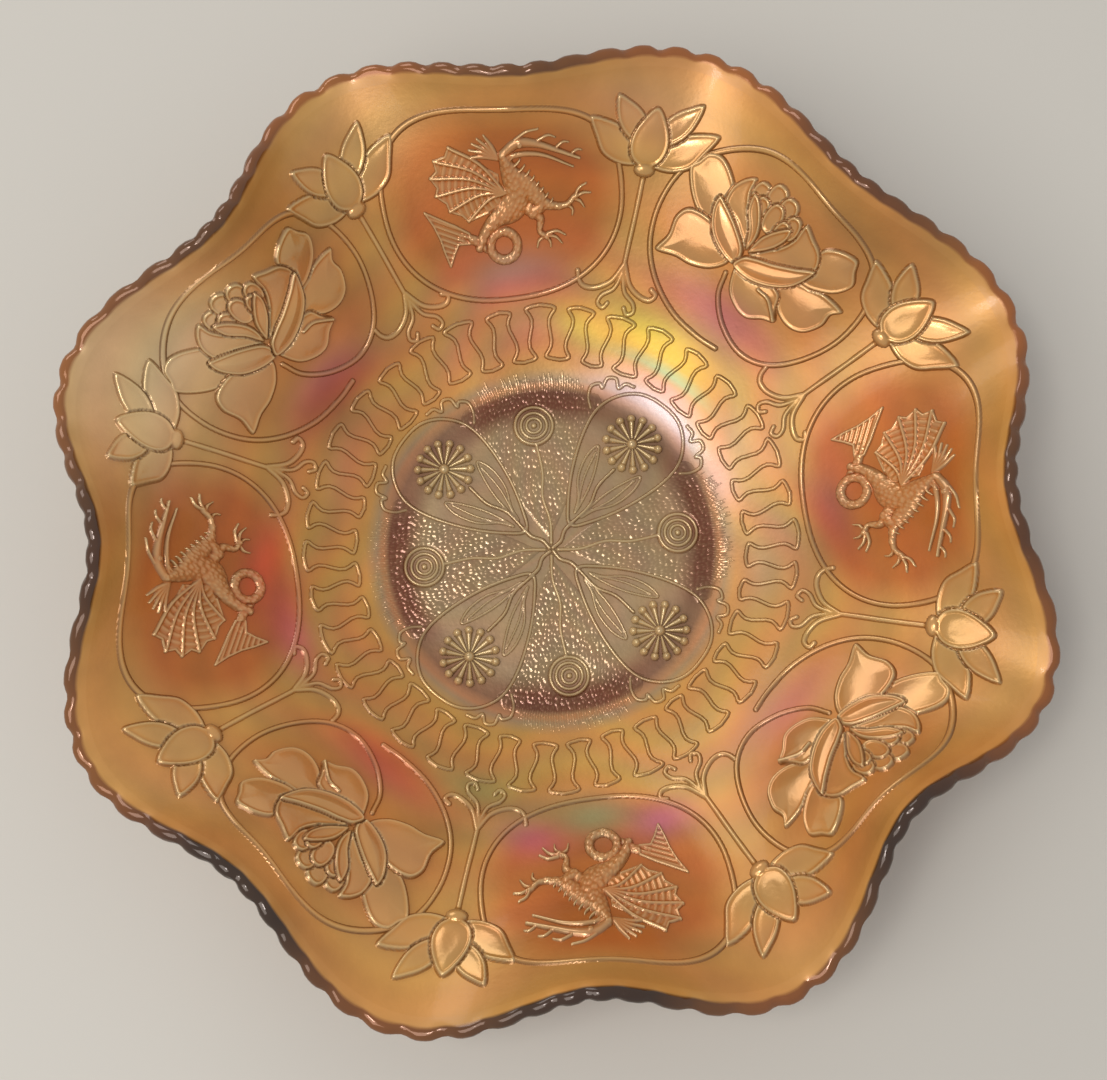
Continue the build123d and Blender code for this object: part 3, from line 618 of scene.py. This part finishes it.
def tint(radius, angle):
    """Colour of the finish at a radius before ruffling, with painted highlights, painted reflections and
    painted shade in it.
    """
    colour = np.broadcast_to(AMBER, radius.shape + (3,)).copy()
    colour = blended(colour, GOLD, np.clip((62 - radius) / 4, 0, 1))
    colour = blended(colour, TAN, np.clip((44.5 - radius) / 3, 0, 1))
    for k in range(8):
        turn = angle - k * math.pi / 4
        x, y = radius * np.sin(-turn), radius * np.cos(turn)
        near = np.cos(turn) > 0.8
        if k % 2 == 0:
            share = oval_share(x, y, (-0.5, 79.6), 25.6, 18.4, 2.2, 0.16)
        else:
            share = 0.5 * oval_share(x, y, (-1.0, 78.0), 24.4, 17.0, 2.1, 0.22)
        colour = blended(colour, DEEP_AMBER, 0.85 * share * near)
    # the foot shows through the floor as a dark ring
    ring = np.clip((radius - 30.5) / 4.5, 0, 1) * np.clip((40.2 - radius) / 1.6, 0, 1)
    ring *= 0.65 + 0.35 * np.clip(np.cos(4 * angle) + 0.6, 0, 1)
    colour = blended(colour, FOOT_BROWN, 0.92 * ring)
    colour = blended(colour, linear(190, 110, 50), 0.5 * np.exp(-((radius - 40.2) / 1.0) ** 2))
    # patches of iridescent colour, painted highlights, painted reflections and painted shade
    for r0, degrees, reach_out, reach_round, other, strength in IRIDESCENCE_AND_HIGHLIGHTS:
        beyond = angle - math.radians(degrees)
        turn = np.degrees(np.arctan2(np.sin(beyond), np.cos(beyond)))
        share = np.exp(-((radius - r0) / reach_out) ** 2 - (turn / reach_round) ** 2)
        colour = blended(colour, other, strength * share)
    # painted reflection: the edge is dark where it folds in, standing in for the dark room it mirrors, and
    # honey where it reaches out, standing in for light shining through it; it is also painted lighter on the
    # far side
    reach_out = 0.5 - 0.5 * np.cos(RUFFLES * (angle - RUFFLE_TURN))
    far_side_light = 0.5 + 0.5 * np.cos(angle - math.radians(76))
    honey = np.clip(0.75 * reach_out ** 1.4 + 0.5 * far_side_light - 0.12, 0, 1)
    lip = blended(linear(30, 18, 18), linear(150, 86, 36), honey)
    colour = blended(colour, lip, 0.94 * np.clip((radius - RIM_RADIUS + 0.7) / 0.7, 0, 1))
    # soft streaks that follow the spray round the bowl
    streak = np.sin(radius * 0.9 + 3 * np.sin(3 * angle)) * np.sin(5 * angle + radius * 0.12)
    film = radius / 13 + 0.5 * np.sin(3 * angle + 0.7) + 0.35 * np.sin(7 * angle)
    hue = np.stack([np.cos(2 * np.pi * film + shift) for shift in (0.0, 1.9, 3.6)], -1)
    strength = 0.03 + 0.05 * np.exp(-((radius - 60) / 14) ** 2)
    return colour * (1 + 0.05 * streak)[..., None] * (1 + strength[..., None] * hue)


# ------------------------------------------------------------------ materials
def glass_material(name, roughness, metallic, bump):
    """Iridised pressed glass: a sprayed metallic finish under a clear fired skin."""
    material = bpy.data.materials.new(name)
    material.use_nodes = True
    nodes, links = material.node_tree.nodes, material.node_tree.links
    shader = nodes["Principled BSDF"]
    shader.inputs["Metallic"].default_value = metallic
    shader.inputs["IOR"].default_value = 1.52
    shader.inputs["Coat Weight"].default_value = 0.18
    shader.inputs["Coat Roughness"].default_value = 0.10
    colour = nodes.new("ShaderNodeAttribute")
    colour.attribute_name = "tint"
    edge = nodes.new("ShaderNodeAttribute")
    edge.attribute_name = "edge"
    crest = nodes.new("ShaderNodeAttribute")
    crest.attribute_name = "crest"
    place = nodes.new("ShaderNodeTexCoord")
    mottle = nodes.new("ShaderNodeTexNoise")
    mottle.inputs["Scale"].default_value = 60.0
    mottle.inputs["Detail"].default_value = 6.0
    grain = nodes.new("ShaderNodeTexNoise")
    grain.inputs["Scale"].default_value = 900.0
    grain.inputs["Detail"].default_value = 3.0
    links.new(place.outputs["Object"], mottle.inputs["Vector"])
    links.new(place.outputs["Object"], grain.inputs["Vector"])
    # uneven spray: the colour drifts a little lighter and darker
    drift = nodes.new("ShaderNodeMapRange")
    drift.inputs["From Min"].default_value = 0.3
    drift.inputs["From Max"].default_value = 0.7
    drift.inputs["To Min"].default_value = 0.86
    drift.inputs["To Max"].default_value = 1.12
    links.new(mottle.outputs["Fac"], drift.inputs["Value"])
    scaled = nodes.new("ShaderNodeVectorMath")
    scaled.operation = "SCALE"
    links.new(colour.outputs["Color"], scaled.inputs[0])
    links.new(drift.outputs["Result"], scaled.inputs["Scale"])
    # painted shade darkens the slopes at the foot of each raised line, standing in for dark refraction edges
    # and partly for pooled spray, and painted highlight lightens its crest
    dark = nodes.new("ShaderNodeMix")
    dark.data_type = "RGBA"
    dark.inputs["B"].default_value = (*linear(92, 48, 16), 1)
    links.new(edge.outputs["Fac"], dark.inputs["Factor"])
    links.new(scaled.outputs["Vector"], dark.inputs["A"])
    light = nodes.new("ShaderNodeMix")
    light.data_type = "RGBA"
    light.inputs["B"].default_value = (*linear(232, 204, 146), 1)
    links.new(crest.outputs["Fac"], light.inputs["Factor"])
    links.new(dark.outputs["Result"], light.inputs["A"])
    links.new(light.outputs["Result"], shader.inputs["Base Color"])
    rough = nodes.new("ShaderNodeMapRange")
    rough.inputs["To Min"].default_value = roughness - 0.05
    rough.inputs["To Max"].default_value = roughness + 0.07
    links.new(mottle.outputs["Fac"], rough.inputs["Value"])
    gloss = nodes.new("ShaderNodeAttribute")
    gloss.attribute_name = "gloss"
    polished = nodes.new("ShaderNodeMath")
    polished.operation = "MULTIPLY_ADD"
    polished.inputs[1].default_value = -0.30
    links.new(gloss.outputs["Fac"], polished.inputs[0])
    links.new(rough.outputs["Result"], polished.inputs[2])
    links.new(polished.outputs["Value"], shader.inputs["Roughness"])
    relief = nodes.new("ShaderNodeBump")
    relief.inputs["Strength"].default_value = bump
    relief.inputs["Distance"].default_value = 0.0004
    links.new(grain.outputs["Fac"], relief.inputs["Height"])
    links.new(relief.outputs["Normal"], shader.inputs["Normal"])
    return material


body_glass = glass_material("marigold_glass", 0.40, 0.40, 0.12)
relief_glass = glass_material("raised_glass", 0.19, 0.38, 0.08)
rim_glass = glass_material("edge_glass", 0.40, 0.25, 0.03)
foot_glass = glass_material("foot_glass", 0.16, 0.10, 0.05)


def finish(thing, node, material):
    """Puts a piece in the frame in place of its CAD node."""
    thing.data.materials.append(material)
    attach(thing, "root")
    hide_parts(node)


# ------------------------------------------------------------------ relief meshes
def box_blur(values, cells):
    """Mean over a square window."""
    size = 2 * cells + 1
    for axis in (0, 1):
        pad = [(cells + 1, cells) if i == axis else (0, 0) for i in (0, 1)]
        total = np.cumsum(np.pad(values, pad, mode="edge"), axis=axis)
        if axis == 0:
            values = (total[size:] - total[:-size]) / size
        else:
            values = (total[:, size:] - total[:, :-size]) / size
    return values


def relief_piece(name, sheet, turn, shade, tone_and_highlight):
    """A closed piece of glass whose top follows a drawing, seated a little into the bowl's surface.

    shade is how dark its slopes are painted as painted shade, and the last argument how much lighter it is
    painted all over, partly its own lighter tone and partly painted highlight.
    """
    drawn = sheet.height > 0.0
    kept = drawn[:-1, :-1] | drawn[:-1, 1:] | drawn[1:, :-1] | drawn[1:, 1:]
    # squares that touch only at a corner get a neighbour, so that every edge has two faces
    a, b, c, e = kept[:-1, :-1], kept[:-1, 1:], kept[1:, :-1], kept[1:, 1:]
    loose = True
    while loose:
        rising = a & e & ~b & ~c
        b |= rising
        falling = b & c & ~a & ~e
        a |= falling
        loose = bool(rising.any() or falling.any())
    used = np.zeros(drawn.shape, bool)
    for rows in (slice(0, -1), slice(1, None)):
        for columns in (slice(0, -1), slice(1, None)):
            used[rows, columns] |= kept
    index = np.cumsum(used.ravel()).reshape(used.shape) - 1
    count = int(used.sum())
    x, y = sheet.x[used], sheet.y[used]
    radius = np.hypot(x, y)
    angle = np.arctan2(y, x) + math.radians(turn - 90)
    top = surface(radius, angle, np.maximum(sheet.height[used], LEAST_THICKNESS - SEAT))
    base = surface(radius, angle, np.full(count, -SEAT))
    rows, columns = np.nonzero(kept)
    quads = np.stack([index[rows, columns], index[rows, columns + 1], index[rows + 1, columns + 1],
                      index[rows + 1, columns]], -1)
    padded = np.pad(kept, 1)
    walls = []
    sides = (((-1, 0), (0, 1)), ((0, 1), (1, 2)), ((1, 0), (2, 3)), ((0, -1), (3, 0)))
    for (row_step, column_step), (start, end) in sides:
        open_side = ~padded[rows + 1 + row_step, columns + 1 + column_step]
        first, second = quads[open_side, start], quads[open_side, end]
        walls.append(np.stack([second, first, first + count, second + count], -1))
    walls = np.vstack(walls)
    faces = np.vstack([quads, quads[:, ::-1] + count, walls])
    points = np.vstack([top, base])
    thing = make_object(name, points, faces)
    # a map of its own for baking: the top above, the hidden underside squeezed below it
    across = (x - sheet.xs[0]) / (sheet.xs[-1] - sheet.xs[0])
    up = (y - sheet.ys[0]) / (sheet.ys[-1] - sheet.ys[0])
    upper = np.stack([across, 0.2 + 0.8 * up], -1)
    lower = np.stack([across, 0.19 * up], -1)
    spots = np.vstack([upper[quads.ravel()], lower[quads[:, ::-1].ravel()], upper[(walls % count).ravel()]])
    thing.data.uv_layers.new(name="OFBake").data.foreach_set("uv", spots.ravel())
    raised = np.maximum(sheet.height, 0.0)
    steep = np.hypot(*np.gradient(raised, sheet.cell))
    hump = raised - box_blur(raised, max(2, round(0.5 / sheet.cell)))
    # painted shade on steep slopes, and painted highlight on crests and over the whole piece
    edge = shade * np.clip(1.1 * (steep - 0.4), 0, 1)
    crest = np.clip(tone_and_highlight + hump, 0, 0.8)
    colour = tint(radius, angle)
    add_attribute(thing, "tint", np.vstack([colour, colour]))
    add_attribute(thing, "edge", np.tile(edge[used], 2))
    add_attribute(thing, "crest", np.tile(crest[used], 2))
    return thing


# name, drawing, turn of the first, how many, darkness of its slopes (painted shade), lightness all over (its
# own lighter tone and painted highlight)
MOTIFS = [
    ("dragon", draw_dragon, 0, 4, 0.6, 0.2),
    ("dragon_medallion_cord", draw_dragon_cord, 0, 4, 0.85, 0.0),
    ("target", draw_target, 0, 4, 0.35, 0.16),
    ("furred_ground", draw_ground, 0, 4, 0.35, 0.0),
    ("ribbon_band", draw_ribbon, 0, 4, 0.85, 0.0),
    ("lotus", draw_lotus, 45, 4, 0.65, 0.16),
    ("lotus_medallion_cord", draw_lotus_cord, 45, 4, 0.85, 0.0),
    ("petal", draw_petal, 45, 4, 0.6, 0.08),
    ("rosette", draw_rosette, 45, 4, 0.12, 0.3),
    ("bud_spray", draw_bud_spray, 22.5, 8, 0.6, 0.08),
]
for motif, draw, first_turn, copies, shade, tone_and_highlight in MOTIFS:
    drawing = draw()
    for i in range(copies):
        node = f"{motif}_{i + 1}"
        piece = relief_piece("raised_" + node, drawing, first_turn + 360 / copies * i, shade, tone_and_highlight)
        finish(piece, node, relief_glass)


# ------------------------------------------------------------------ bowl, edge and foot
def set_plain_attributes(thing, radius, angle, gloss):
    """Colour for a piece without raised lines; gloss is how polished it is."""
    add_attribute(thing, "tint", tint(radius, angle))
    add_attribute(thing, "edge", np.zeros(len(radius)))
    add_attribute(thing, "crest", np.zeros(len(radius)))
    add_attribute(thing, "gloss", gloss)


def build_bowl():
    """The shell: its inside, its outside and the recess under the floor."""
    columns = 576
    angle = 2 * np.pi * np.arange(columns) / columns
    inner = np.linspace(FLOOR_HUB, JOINT_RADIUS, 84)
    outer = np.linspace(FOOT_RADIUS + 5.0, JOINT_RADIUS, 34)[::-1]
    underside = (FOOT_RADIUS + 1.0, FOOT_RADIUS * 0.6, FLOOR_HUB)
    rings = [surface(np.full(columns, r), angle, np.zeros(columns)) for r in inner]
    rings += [surface(np.full(columns, r), angle, np.full(columns, -WALL)) for r in outer]
    for r in underside:
        rings.append(np.stack([r * np.cos(angle), r * np.sin(angle), np.full(columns, FOOT_HEIGHT)], -1))
    radii = np.concatenate([inner, outer, underside])
    points = np.array(rings).reshape(-1, 3)
    faces = [tuple(reversed(f)) for f in ring_faces(len(rings), columns)]
    # close the middle of the floor above and below
    centre = len(points)
    points = np.vstack([points, [[0, 0, FLOOR_HEIGHT]], [[0, 0, FOOT_HEIGHT]]])
    last = (len(rings) - 1) * columns
    for column in range(columns):
        after = (column + 1) % columns
        faces.append((column, after, centre))
        faces.append((last + after, last + column, centre + 1))
    thing = make_object("bowl", points, faces, 50)
    radius = np.concatenate([np.repeat(radii, columns), [0.0, 0.0]])
    turn = np.concatenate([np.tile(angle, len(radii)), [0.0, 0.0]])
    set_plain_attributes(thing, radius, turn, np.zeros(len(radius)))
    finish(thing, "bowl_body", body_glass)


build_bowl()


def build_rim():
    """The wall's last millimetres: a rounded lip with notches pressed into it all round."""
    columns = NOTCHES * 8
    angle = 2 * np.pi * np.arange(columns) / columns
    uneven = 0.75 + 0.25 * np.sin(17 * angle) * np.cos(9 * angle + 1.0)
    notch = (0.5 + 0.5 * np.cos(NOTCHES * angle + 0.6 * np.sin(11 * angle))) ** 2.0 * uneven
    section = [(JOINT_RADIUS, 0.0), (JOINT_RADIUS + 0.8, 0.0), (JOINT_RADIUS + 1.5, 0.0)]
    for i in range(13):
        turn = math.pi * i / 12
        section.append((RIM_RADIUS + LIP_ROUND * math.sin(turn), -WALL / 2 * (1 - math.cos(turn))))
    section += [(JOINT_RADIUS + 1.5, -WALL), (JOINT_RADIUS + 0.8, -WALL), (JOINT_RADIUS, -WALL)]
    rings = []
    for radius, lift in section:
        share = min(max((radius - JOINT_RADIUS - 0.8) / 2.5, 0.0), 1.0)
        dent = notch * share * NOTCH_DEPTH
        rings.append(surface(radius - 1.7 * dent, angle, lift + np.sign(-WALL / 2 - lift) * 0.9 * dent))
    points = np.array(rings).reshape(-1, 3)
    thing = make_object("notched_edge", points, ring_faces(len(section), columns, closed=True), 60)
    radius = np.repeat([r for r, lift in section], columns)
    gloss = np.clip((radius - RIM_RADIUS + 0.7) / 0.7, 0, 1)
    set_plain_attributes(thing, radius, np.tile(angle, len(section)), gloss)
    finish(thing, "rim_edge", rim_glass)


def build_foot():
    """The collar that the bowl stands on, with rounded lower edges."""
    columns = 256
    angle = 2 * np.pi * np.arange(columns) / columns
    base_inner, base_outer = FOOT_RADIUS - FOOT_WALL, FOOT_RADIUS - FOOT_DRAFT
    section = [(FOOT_RADIUS - FOOT_WALL - FOOT_DRAFT, FOOT_HEIGHT)]
    for i in range(7):
        turn = math.pi / 2 * i / 6
        section.append((base_inner + FOOT_ROUND * (1 - math.cos(turn)), FOOT_ROUND * (1 - math.sin(turn))))
    for i in range(7):
        turn = math.pi / 2 * i / 6
        section.append((base_outer - FOOT_ROUND * (1 - math.sin(turn)), FOOT_ROUND * (1 - math.cos(turn))))
    section.append((FOOT_RADIUS, FOOT_HEIGHT))
    rings = [np.stack([r * np.cos(angle), r * np.sin(angle), np.full(columns, z)], -1) for r, z in section]
    points = np.array(rings).reshape(-1, 3)
    thing = make_object("foot_ring", points, ring_faces(len(section), columns, closed=True), 60)
    radius = np.repeat([r for r, z in section], columns)
    set_plain_attributes(thing, radius, np.tile(angle, len(section)), np.zeros(len(radius)))
    finish(thing, "collar_foot", foot_glass)


build_rim()
build_foot()


# ------------------------------------------------------------------ table top, light and camera
def build_floor():
    """The pale table top."""
    material = bpy.data.materials.new("pale_stone")
    material.use_nodes = True
    nodes, links = material.node_tree.nodes, material.node_tree.links
    shader = nodes["Principled BSDF"]
    shader.inputs["Roughness"].default_value = 0.55
    shader.inputs["Base Color"].default_value = (*linear(196, 190, 179), 1)
    half = 2000.0
    points = np.array([[-half, -half, 0], [half, -half, 0], [half, half, 0], [-half, half, 0]])
    floor = make_object("table_top", points, [(0, 1, 2, 3)])
    floor.data.materials.append(material)


build_floor()

CAMERA_RISE = math.radians(80.65)
CAMERA_ROLL = math.radians(-6.2)
CAMERA_DISTANCE = 0.5456
BOWL_TURN = Matrix.Rotation(math.radians(-14.08), 3, "Z")
level = Vector((1, 0, 0))
upward = Vector((0, math.sin(CAMERA_RISE), math.cos(CAMERA_RISE)))
backward = Vector((0, -math.cos(CAMERA_RISE), math.sin(CAMERA_RISE)))
right = BOWL_TURN @ (level * math.cos(CAMERA_ROLL) - upward * math.sin(CAMERA_ROLL))
up = BOWL_TURN @ (level * math.sin(CAMERA_ROLL) + upward * math.cos(CAMERA_ROLL))
eye = BOWL_TURN @ backward * CAMERA_DISTANCE
AIM_RIGHT = 0.00067
AIM_UP = 0.00383
aim = right * AIM_RIGHT + up * AIM_UP


def looking(place, target, up_hint):
    """World matrix of something at a place that looks along its own -Z at a target."""
    back = (place - target).normalized()
    side = up_hint.cross(back).normalized()
    turn = Matrix((side, back.cross(side), back)).transposed().to_4x4()
    turn.translation = place
    return turn


camera = bpy.data.objects.new("camera", bpy.data.cameras.new("camera"))
camera.data.lens = 73.2
camera.data.sensor_width = 36.0
camera.data.sensor_fit = "HORIZONTAL"
camera.data.dof.use_dof = False
camera.matrix_world = looking(eye, aim, up)
bpy.context.scene.collection.objects.link(camera)
bpy.context.scene.camera = camera


def soft_light(name, across, along, height, size, power, colour):
    """A soft light; across and along are metres to the right of the bowl and above it in the picture."""
    lamp = bpy.data.lights.new(name, "AREA")
    lamp.shape = "RECTANGLE"
    lamp.size, lamp.size_y = size
    lamp.energy = power
    lamp.color = colour
    thing = bpy.data.objects.new(name, lamp)
    place = right * across + up * along
    place.z = height
    thing.matrix_world = looking(place, Vector((0, 0, 0.03)), Vector((0, 0, 1)))
    bpy.context.scene.collection.objects.link(thing)


soft_light("window", -0.70, -0.40, 1.35, (1.0, 1.0), 9.0, (1.0, 0.98, 0.95))
soft_light("back_window", -0.9, 1.4, 0.9, (1.0, 0.7), 6.0, (0.96, 0.98, 1.0))
soft_light("glint", -0.26, -0.10, 1.10, (0.18, 0.18), 1.9, (1.0, 1.0, 1.0))
world = bpy.data.worlds.new("room")
world.use_nodes = True
world.node_tree.nodes["Background"].inputs["Color"].default_value = (0.80, 0.82, 0.86, 1)
world.node_tree.nodes["Background"].inputs["Strength"].default_value = 0.72
bpy.context.scene.world = world
bpy.context.scene.view_settings.view_transform = "Standard"
